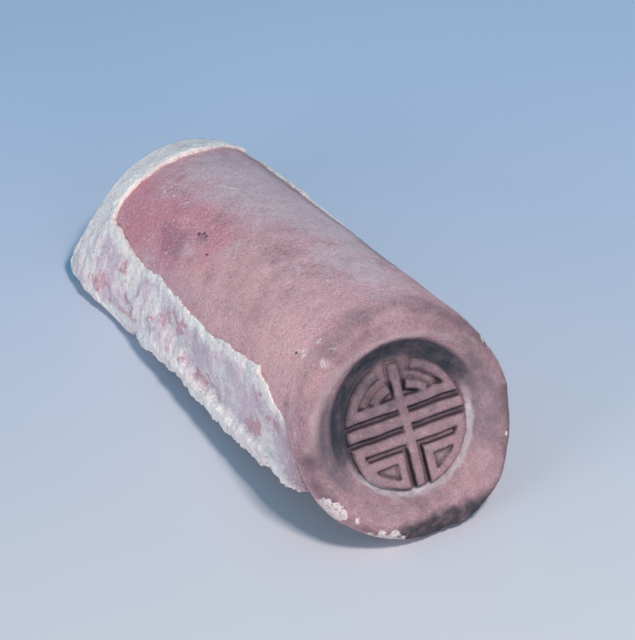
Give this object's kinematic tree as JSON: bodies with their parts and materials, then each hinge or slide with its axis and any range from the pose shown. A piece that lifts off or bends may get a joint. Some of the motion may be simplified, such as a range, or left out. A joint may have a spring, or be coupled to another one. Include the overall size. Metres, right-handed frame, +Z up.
{
  "type": "eave end tile",
  "caption": "Half-round clay roof tile closed at its lower end by a leaning round disc with a bar-and-fret medallion, lime bedding mortar left on its edges.",
  "frame": {"origin": "on the floor, under the middle of the bounding box", "axes": "+Y runs along the tile from the disc to the rear end, +X to the right seen from the disc, +Z up; the tile lies as it rests, disc end raised"},
  "size_m": [0.1342, 0.2886, 0.1034],
  "materials": {
    "fired_clay": "unglazed dusty rose fired clay, limewash haze, soot in the recess",
    "lime_mortar": "pale grey-white lime mortar, rough, pink clay stains"
  },
  "bodies": {
    "root": {"tile": "fired_clay", "mortar_left": "lime_mortar", "mortar_right": "lime_mortar"}
  },
  "joints": []
}
